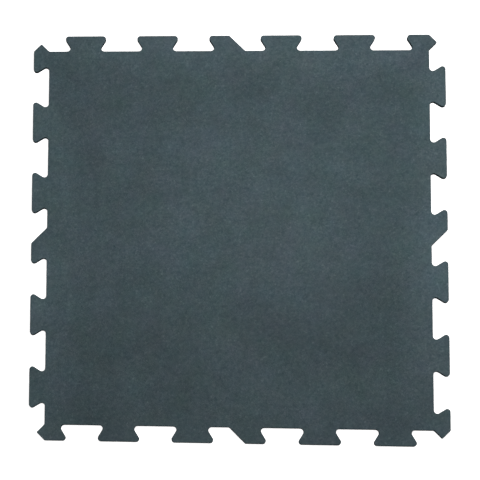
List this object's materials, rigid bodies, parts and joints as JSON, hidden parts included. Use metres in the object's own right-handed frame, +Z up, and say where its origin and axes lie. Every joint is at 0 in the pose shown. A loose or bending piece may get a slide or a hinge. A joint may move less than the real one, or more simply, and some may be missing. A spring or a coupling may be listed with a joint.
{
  "type": "rubber gym floor tile",
  "caption": "Square interlocking rubber floor tile with rounded dovetail tabs and notches along every side, flat wear face and flat underside.",
  "frame": {"origin": "centre of the tile on its flat underside, the bottom centre of its bounding box", "axes": "+Z up out of the wear face, +X and +Y along the sides of the square grid that the tile is laid on"},
  "size_m": [0.52, 0.52, 0.01],
  "materials": {
    "rubber": "matt moulded crumb rubber, slate blue-grey, fine grain"
  },
  "bodies": {
    "root": {"rubber_tile": "rubber"}
  },
  "joints": []
}
